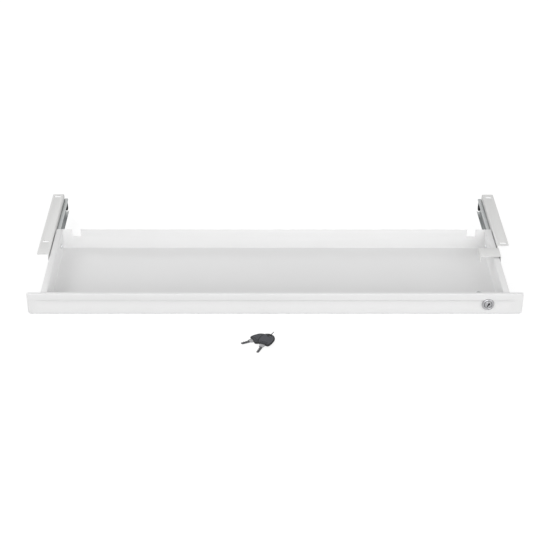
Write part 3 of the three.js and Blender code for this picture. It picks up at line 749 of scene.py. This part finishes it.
def threaded(start, end, radius, depth, pitch):
    """The profile of a thread as rings: crest, root and crest again, a pitch apart."""
    points, at = [], start
    while at + pitch <= end + 1e-6:
        points += [(radius, at), (radius - depth, at + pitch / 2)]
        at += pitch
    return points + [(radius, at)]


def slide_screws():
    """Pan-head screws that hold the inner members to the tray, two a side."""
    profile = [(0, 365.2), (1.6, 365.25), (2.6, 365.55), (3.3, 366.2), (3.6, 367.2), (3.55, 367.65),
               (1.5, 367.65), *threaded(368, 373.4, 1.5, 0.25, 0.6), (1.1, 374), (0, 374)]
    first = turned("right_slide_screw_1", profile, (0, SCREWS_Y[0], SLIDE_Z), "x", 40)
    cut(first, *cross_tools((365.2, SCREWS_Y[0], SLIDE_Z), "x", 1.9, 1.3))
    smooth(first)
    second = shifted(first, "right_slide_screw_2", y=SCREWS_Y[1] - SCREWS_Y[0])
    for i, piece in enumerate((first, second), 1):
        left = moved(piece, f"left_slide_screw_{i}", MIRROR)
        smooth(left)
        done(piece, "drawer", "zinc_steel", f"slide_screw_right_{i}", finishes=("screw_zinc",))
        done(left, "drawer", "zinc_steel", f"slide_screw_left_{i}", finishes=("screw_zinc",))


def rivets():
    """Domed rivets through the web, flush inside the slide."""
    profile = [(0, 378.3), (3, 378.3), (3, 378.9), (1.8, 379.3), (1.8, 381.35), (3.55, 381.35), (3.6, 381.55),
               (3.45, 382.0), (2.9, 382.4), (2.0, 382.68), (1.0, 382.8), (0, 382.82)]
    first = turned("right_rivet_1", profile, (0, RIVETS_Y[0], SLIDE_Z), "x", 40)
    smooth(first)
    second = shifted(first, "right_rivet_2", y=RIVETS_Y[1] - RIVETS_Y[0])
    for i, piece in enumerate((first, second), 1):
        left = moved(piece, f"left_rivet_{i}", MIRROR)
        smooth(left)
        done(piece, "mounts", "zinc_steel", f"bracket_rivet_right_{i}")
        done(left, "mounts", "zinc_steel", f"bracket_rivet_left_{i}")


def hexagon(name, x, z, y0, y1, flats, bore):
    """A nut: six sides, its outer corners turned off, and a threaded bore."""
    piece = rod(name, flats / 3 ** 0.5, (x, y0, z), (x, y1, z), 6)
    piece.data.transform(turn_about(place(x, y0, z), pi / 6))
    inside, outside = flats / 2 - 0.25, flats / 2 + 3
    ring = turned("corner_tool", [(inside, y1 + 0.3), (outside, y1 + 0.3), (outside, y1 - 1.45),
                                  (inside, y1 + 0.3)], (x, 0, z), "y", 48)
    bore_tool = turned("bore_tool", [(0, y0 - 1), (bore + 0.4, y0 - 1), (bore, y0 + 0.4),
                                     *threaded(y0 + 0.5, y1 - 0.5, bore + 0.25, 0.25, 0.7),
                                     (bore, y1 - 0.3), (bore + 0.6, y1 + 1), (0, y1 + 1)], (x, 0, z), "y", 32)
    cut(piece, ring, bore_tool)
    smooth(piece, 30)
    return piece


def front_fixings():
    """Weld studs on the back of the front, each with its nut."""
    profile = [(0, 2.95), (3, 2.95), (3, 3.55), (2.2, 3.9), (1.5, 4.4), (1.5, 5.6),
               *threaded(5.8, 12.0, 1.5, 0.2, 0.5), (1.1, 12.6), (0, 12.6)]
    stud = turned("front_stud_a", profile, (STUD_X[0], 0, STUD_Z), "y", 28)
    smooth(stud, 30)
    nut = hexagon("front_nut_a", STUD_X[0], STUD_Z, 6.7, 9.6, 6.4, 1.75)
    for i, x in enumerate(STUD_X):
        if i:
            pair = [shifted(each, each.name[:-1] + "abcd"[i], x=x - STUD_X[0]) for each in (stud, nut)]
        else:
            pair = [stud, nut]
        done(pair[0], "drawer", "zinc_steel", f"front_stud_{i + 1}")
        done(pair[1], "drawer", "zinc_steel", f"front_nut_{i + 1}")


# Lock

def about_lock(degrees):
    return turn_about(place(LOCK_X, 0, LOCK_Z), radians(degrees))


def lock():
    """A cam lock: housing with a bright face and a threaded barrel, plug with its keyway, nut,
    cam and screw. The cam's arm points up and left at rest."""
    axis = (LOCK_X, 0, LOCK_Z)
    housing = turned("lock_housing", [
        (6.35, -1.7), (6.5, -2.05), (6.8, -2.3), (7.2, -2.4), (8.7, -2.4), (9.3, -2.25), (9.75, -1.9),
        (10, -1.4), (10, -0.45), (9.85, -0.3), (BARREL_R, -0.3), (BARREL_R, 5.0),
        *threaded(5.5, 16.0, BARREL_R, 0.4, 0.75), (7.6, 17.1), (6.35, 17.1), (6.35, -1.7)],
        axis, "y", 72)
    smooth(housing, 32)
    done(housing, "drawer", "nickel_plate", "lock_body")

    plug = turned("lock_core", [(0, -2.2), (5.2, -2.2), (5.6, -2.1), (5.9, -1.85), (PLUG_R, -1.5),
                                (PLUG_R, 17.4), (0, 17.4)], axis, "y", 72)
    keyway = block("keyway", (LOCK_X - 0.75, -5, LOCK_Z - 3.9), (LOCK_X + 1.15, 9, LOCK_Z + 3.6))
    ward = block("ward", (LOCK_X - 0.3, -5, LOCK_Z - 0.2), (LOCK_X + 2.3, 9, LOCK_Z + 3.2))
    for tool in (keyway, ward):
        tool.data.transform(about_lock(KEYWAY_TURN))
    screw_hole = rod("screw_hole", 2.1, (LOCK_X, 12.5, LOCK_Z), (LOCK_X, 30, LOCK_Z), 24)
    tail = block("tail", (LOCK_X - 3, 17.2, LOCK_Z - 3), (LOCK_X + 3, 20.5, LOCK_Z + 3))
    tail.data.transform(about_lock(CAM_REST))
    apply(plug, "BOOLEAN", operation="UNION", object=tail, solver="EXACT")
    bpy.data.objects.remove(tail)
    cut(plug, keyway, ward, screw_hole)
    soften(plug, 0.12, 2, angle=50)
    done(plug, "lock_cylinder", "nickel_plate", "lock_plug")

    nut = hexagon("lock_ring_nut", LOCK_X, LOCK_Z, 6.7, 10.4, 22, BARREL_R + 0.2)
    done(nut, "drawer", "zinc_steel", "lock_nut")

    cam = rod("lock_cam_arm", 7.6, (LOCK_X, CAM_Y, LOCK_Z), (LOCK_X, CAM_Y + CAM_T, LOCK_Z), 48)
    arm = block("arm", (LOCK_X - CAM_LONG, CAM_Y, LOCK_Z - 5.4), (LOCK_X, CAM_Y + CAM_T, LOCK_Z + 5.4))
    edit(arm)
    pick("EDGE", lambda e: both(e, "x", LOCK_X - CAM_LONG) and length_along(e, "y") > 1)
    round_off(4.0, 8)
    leave()
    apply(cam, "BOOLEAN", operation="UNION", object=arm, solver="EXACT")
    bpy.data.objects.remove(arm)
    cut(cam, block("square", (LOCK_X - 3.35, 15, LOCK_Z - 3.35), (LOCK_X + 3.35, 25, LOCK_Z + 3.35)))
    soften(cam, 0.25, 3, angle=50)
    cam.data.transform(about_lock(CAM_REST))
    done(cam, "lock_cylinder", "zinc_steel", "lock_cam")

    back = 20.85
    screw = turned("cam_fixing_screw", [
        (0, 14), (1.4, 14), (1.7, 14.4), (1.7, back), (4.5, back), (4.6, back + 0.15), (4.6, back + 0.7),
        (4.4, back + 0.85), (3.4, back + 0.9), (3.3, back + 1.6), (2.8, back + 2.2), (1.6, back + 2.5),
        (0, back + 2.6)], axis, "y", 40)
    cut(screw, *cross_tools((LOCK_X, back + 2.6, LOCK_Z), "y", 1.9, 1.4))
    smooth(screw, 32)
    done(screw, "lock_cylinder", "zinc_steel", "cam_screw")


# Keys

def key_place(spot):
    return (Matrix.Translation(place(spot["x"], spot["y"], spot["z"]))
            @ Matrix.Rotation(radians(spot["turn"]), 4, "Z")
            @ Matrix.Rotation(radians(spot["tilt"]), 4, "Y")
            @ Matrix.Translation(-place(0, 0, 0)))


def bow(start, pull, end, steps):
    """Points on the curve that leaves start towards pull and arrives at end, without start."""
    shares = [i / steps for i in range(1, steps + 1)]
    return [tuple((1 - t) ** 2 * a + 2 * t * (1 - t) * b + t * t * c for a, b, c in zip(start, pull, end))
            for t in shares]


def head_outline(inset):
    """Half round at its far end and straight across at the blade, set in from the edge."""
    side, reach, half = 12.6 - inset, 13.5 - inset, 9.7 - inset
    end = [(-1.2 + side * cos(pi * i / 32), side * sin(pi * i / 32)) for i in range(16, 49)]
    low = (bow((-1.2, -side), (9 - inset, -side), (reach - 0.8, -half), 12)
           + bow((reach - 0.8, -half), (reach, -half + 0.7), (reach, -half + 1.7), 4))
    return end + low + [(x, -y) for x, y in reversed(low)]


def key_head():
    """A moulding with rounded rims, its faces sunk a little, with three grip lines in each and a
    hole for a ring inside a low boss."""
    piece = flat("key_head", head_outline(0), -KEY_HEAD_T / 2, KEY_HEAD_T / 2)
    edit(piece)
    pick("EDGE", lambda e: near(ends(e)[0].z, ends(e)[1].z))
    round_off(0.9, 5)
    leave()
    centre = (KEY_HOLE_X, 0, 0)
    hole = turned("ring_hole", [(0, -2), (KEY_HOLE_R, -2), (KEY_HOLE_R, 2), (0, 2)], centre, "z", 40)
    pocket = block("blade_pocket", (3.6, -4, -KEY_BLADE_T / 2 - 0.08), (20, 4, KEY_BLADE_T / 2 + 0.08))
    faces = [cut(flat("face", head_outline(KEY_RIM), *sorted((side * KEY_FACE, side * 3))),
                 turned("boss", [(0, -4), (KEY_BOSS_R, -4), (KEY_BOSS_R, 4), (0, 4)], centre, "z", 48))
             for side in (-1, 1)]
    grips = [block("grip", (x - 0.4, -6.5, side * 1.27 - 0.22), (x + 0.4, 6.5, side * 1.27 + 0.22))
             for x in KEY_GRIPS for side in (-1, 1)]
    cut(piece, *faces, hole, pocket, *grips)
    smooth(piece, 30)
    # Rims, sides, grips and boss keep the darker rim finish, painted shade along the edges; the sunk faces
    # get the face finish
    for finish in ("key_rim", "key_plastic"):
        piece.data.materials.append(FINISHES[finish])
    edit(piece)
    pick("FACE", lambda f: abs(f.normal.z) > 0.99 and near(abs(middle(f).z), KEY_FACE))
    piece.active_material_index = 1
    bpy.ops.object.material_slot_assign()
    leave()
    return piece


BLADE = ((4, -3.6), (13.6, -3.6), (13.9, -4.4), (16.6, -4), (18.6, -3), (20.2, -2.7), (21.6, -0.6),
         (23, -0.4), (24.4, -1.6), (25.8, -0.1), (27.2, -0.3), (28.6, -1.4), (30, 0), (31.4, -0.2),
         (32.5, -0.9), (33.35, 0.5), (32.8, 1.4), (31.2, 3.1), (18.6, 3.1), (16.6, 4.1), (13.9, 4.4),
         (13.6, 3.6), (4, 3.6))


def key_blade():
    """A flat blade with shoulders, a milled groove in each face and cuts along one edge."""
    half = KEY_BLADE_T / 2
    piece = flat("key_blade", BLADE, -half, half)
    cut(piece, block("groove", (18, 1.5, half - 0.5), (40, 2.3, half + 1)),
        block("groove", (18, 0.3, -half - 1), (40, 1.1, -half + 0.5)))
    soften(piece, 0.12, 2, angle=35)
    # Up to NECK_END the blade takes the lighter neck finish, a painted highlight; beyond it the darker steel,
    # painted shade and dark reflection
    for finish in ("key_steel", "key_neck"):
        piece.data.materials.append(FINISHES[finish])
    edit(piece)
    bisect("x", NECK_END)
    pick("FACE", lambda f: middle(f).x < NECK_END)
    piece.active_material_index = 1
    bpy.ops.object.material_slot_assign()
    leave()
    return piece


def keys():
    """Two keys cut from the same two pieces, the upper one resting on the lower, with a small
    two-turn split ring through its head."""
    head, blade = key_head(), key_blade()
    for which, spot in (("lower", KEY_LOWER), ("upper", KEY_UPPER)):
        set_down = key_place(spot)
        done(moved(head, f"{which}_key_head", set_down), f"key_{which}", "key_plastic", f"key_{which}_head",
             finishes=("key_rim", "key_plastic"))
        done(moved(blade, f"{which}_key_blade", set_down), f"key_{which}", "key_steel", f"key_{which}_blade",
             finishes=("key_steel", "key_neck"))
    for each in (head, blade):
        bpy.data.objects.remove(each)
    split_ring()


def split_ring():
    """The ring's wire is drawn as a circle and wound by a screw of almost two turns. The ring
    leans over the far edge of the upper head."""
    bpy.ops.object.select_all(action="DESELECT")
    bpy.ops.mesh.primitive_circle_add(vertices=12, radius=WIRE_R * MM,
                                      location=(RING_R * MM, 0, -WIRE_R * MM),
                                      rotation=(pi / 2, 0, 0), fill_type="NOTHING")
    ring = named("key_split_ring")
    apply(ring, "SCREW", angle=radians(700), screw_offset=2 * WIRE_R * MM, steps=110,
          render_steps=110, axis="Z", use_merge_vertices=False)
    edit(ring)
    pick("EDGE", lambda e: len(e.link_faces) == 1)
    bpy.ops.mesh.edge_face_add()
    leave()
    lean = RING_AXIS.to_track_quat("Z", "Y").to_matrix().to_4x4()
    ring.data.transform(Matrix.Translation(place(*RING_CENTRE)) @ lean)
    recalculate(ring)
    smooth(ring)
    # The ring's finish is painted nearly black, as shade
    done(ring, "key_upper", "nickel_plate", "key_ring", finishes=("key_ring",))


# Stage

def rays_that_see_white(tree):
    """1 for what the camera sees directly, in a reflection or through a piece, and 0 for light."""
    path = node(tree, "LightPath")
    seen = path.outputs["Is Camera Ray"]
    for ray in ("Is Glossy Ray", "Is Transmission Ray"):
        seen = node(tree, "Math", {0: seen, 1: path.outputs[ray]}, operation="MAXIMUM").outputs[0]
    return seen


def stage():
    """A plain white floor, a white surround and soft lamps at a plain level."""
    material, tree, _ = new_material("studio_floor")
    matt = node(tree, "BsdfDiffuse", {"Color": linear("#BCBCBC")})
    shadowed = node(tree, "BsdfDiffuse", {"Color": (0.28, 0.28, 0.28, 1)})
    glow = node(tree, "Emission", {"Color": (0.83, 0.83, 0.83, 1), "Strength": 1.0})
    white = node(tree, "AddShader", {0: shadowed.outputs[0], 1: glow.outputs[0]})
    either = node(tree, "MixShader", {0: rays_that_see_white(tree), 1: matt.outputs[0], 2: white.outputs[0]})
    node(tree, "OutputMaterial", {"Surface": either.outputs[0]})
    bpy.ops.object.select_all(action="DESELECT")
    bpy.ops.mesh.primitive_plane_add(size=12, location=(0, 0, -0.25 * MM))
    floor = named("floor")
    floor.data.materials.append(material)

    world = bpy.data.worlds.new("surround")
    bpy.context.scene.world = world
    world.use_nodes = True
    tree = world.node_tree
    tree.nodes.clear()
    level = node(tree, "MapRange", {0: rays_that_see_white(tree), 1: 0.0, 2: 1.0, 3: 0.52, 4: 1.0})
    sky = node(tree, "Background", {"Color": (1, 1, 1, 1), "Strength": level.outputs[0]})
    node(tree, "OutputWorld", {"Surface": sky.outputs[0]})

    for name, watts, size, spot in (
            ("front_lamp", 31, 1.6, (0, -3.0, 0.8)),
            ("front_left_lamp", 7.5, 2.2, (-1.7, -2.4, 1.3)),
            ("front_right_lamp", 18.5, 2.4, (1.9, -2.2, 1.4)),
            ("left_lamp", 3.5, 1.2, (-2.3, 0.2, 1.1)),
            ("right_lamp", 3.5, 1.2, (2.3, 0.2, 1.1)),
            ("back_lamp", 16, 1.2, (-1.8, 1.6, 1.8))):
        data = bpy.data.lights.new(name, "AREA")
        data.energy, data.size, data.shape = watts, size, "DISK"
        lamp = bpy.data.objects.new(name, data)
        bpy.context.scene.collection.objects.link(lamp)
        lamp.location = spot
        lamp.rotation_euler = (-Vector(spot)).to_track_quat("-Z", "Y").to_euler()


def carried_over():
    """The cages and balls between the members keep their solids, and get the metals."""
    for name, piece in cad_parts.items():
        if name.startswith("ball_"):
            slot = "zinc_steel" if "cage" in name else "nickel_plate"
            piece.data.materials.clear()
            piece.data.materials.append(FINISHES[slot])


add_camera()
front()
tray()
tray_front()
left_bracket()
right_bracket()
slides()
slide_screws()
rivets()
front_fixings()
lock()
keys()
carried_over()
stage()

bpy.context.scene.view_settings.view_transform = "Standard"
